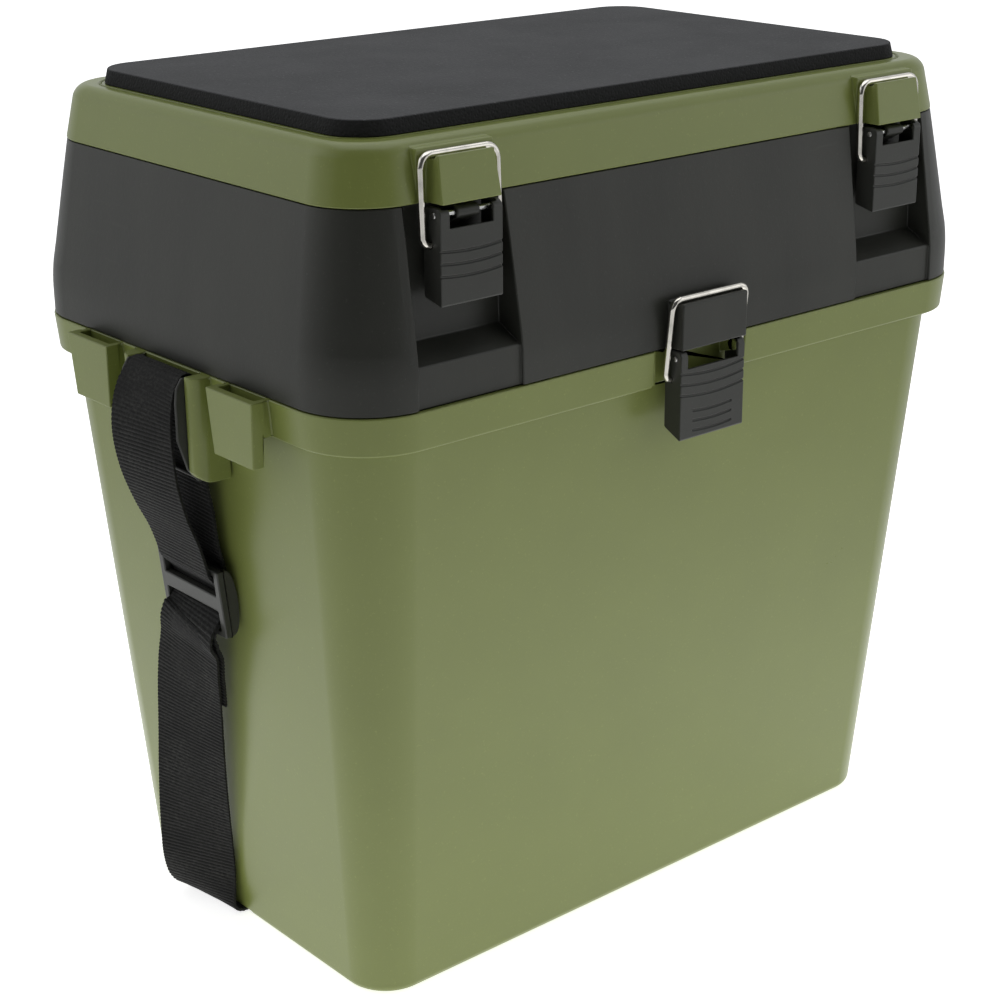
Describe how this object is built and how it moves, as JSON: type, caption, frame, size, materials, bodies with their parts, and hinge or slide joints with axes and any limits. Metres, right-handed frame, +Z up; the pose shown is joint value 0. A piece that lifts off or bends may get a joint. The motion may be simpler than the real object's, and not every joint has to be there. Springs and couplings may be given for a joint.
{
  "type": "fishing seat box",
  "caption": "Carry box with a deep tapered bucket, a hinged compartment tray and a hinged padded seat lid, held by over-centre wire latches.",
  "frame": {"origin": "centre of the footprint on the plane the base rests on", "axes": "+Z up, -Y towards the front with the lower latch, +X to the right as seen from the front"},
  "size_m": [0.4072, 0.26, 0.38],
  "materials": {
    "green_plastic": "semi-gloss moulded plastic",
    "black_plastic": "satin moulded plastic",
    "foam": "closed-cell foam with a fine skin",
    "chrome_wire": "bright plated wire",
    "steel_pin": "plain steel rod",
    "webbing": "ribbed woven strap"
  },
  "bodies": {
    "bucket": {"bucket_shell": "green_plastic", "strap_anchor_left": "green_plastic", "strap_anchor_right": "green_plastic", "strap_webbing": "webbing", "strap_buckle_left": "black_plastic", "strap_buckle_right": "black_plastic", "tray_hinge_rods": "steel_pin", "lower_lever_pins": "steel_pin"},
    "tray": {"tray_shell": "black_plastic", "divider_long": "black_plastic", "dividers_cross": "black_plastic", "lid_hinge_rods": "steel_pin", "upper_lever_pins": "steel_pin"},
    "lid": {"lid_shell": "green_plastic", "seat_pad": "foam"},
    "lever_left": {"lever_left": "black_plastic"},
    "lever_right": {"lever_right": "black_plastic"},
    "lever_front": {"lever_front": "black_plastic"},
    "bail_left": {"bail_left": "chrome_wire"},
    "bail_right": {"bail_right": "chrome_wire"},
    "bail_front": {"bail_front": "chrome_wire"}
  },
  "joints": [
    {"name": "tray_hinge", "type": "hinge", "parent": "bucket", "child": "tray", "pos_m": [0, 0.1262, 0.277], "axis": [-1, 0, 0], "range_deg": [0, 90]},
    {"name": "lid_hinge", "type": "hinge", "parent": "tray", "child": "lid", "pos_m": [0, 0.1169, 0.3502], "axis": [-1, 0, 0], "range_deg": [0, 100]},
    {"name": "lever_left_hinge", "type": "hinge", "parent": "tray", "child": "lever_left", "pos_m": [-0.124, -0.1168, 0.346], "axis": [-1, 0, 0], "range_deg": [0, 90]},
    {"name": "lever_right_hinge", "type": "hinge", "parent": "tray", "child": "lever_right", "pos_m": [0.124, -0.1168, 0.346], "axis": [-1, 0, 0], "range_deg": [0, 90]},
    {"name": "lever_front_hinge", "type": "hinge", "parent": "bucket", "child": "lever_front", "pos_m": [0, -0.1256, 0.269], "axis": [-1, 0, 0], "range_deg": [0, 90]},
    {"name": "bail_left_pivot", "type": "hinge", "parent": "lever_left", "child": "bail_left", "pos_m": [-0.124, -0.1146, 0.3345], "axis": [-1, 0, 0], "range_deg": [-121.5, 0]},
    {"name": "bail_right_pivot", "type": "hinge", "parent": "lever_right", "child": "bail_right", "pos_m": [0.124, -0.1146, 0.3345], "axis": [-1, 0, 0], "range_deg": [-121.5, 0]},
    {"name": "bail_front_pivot", "type": "hinge", "parent": "lever_front", "child": "bail_front", "pos_m": [0, -0.1226, 0.2596], "axis": [-1, 0, 0], "range_deg": [-121.5, 0]}
  ],
  "couplings": [
    {"joint": "bail_left_pivot", "follows": "lever_left_hinge", "ratio": -1.35},
    {"joint": "bail_right_pivot", "follows": "lever_right_hinge", "ratio": -1.35},
    {"joint": "bail_front_pivot", "follows": "lever_front_hinge", "ratio": -1.35}
  ]
}
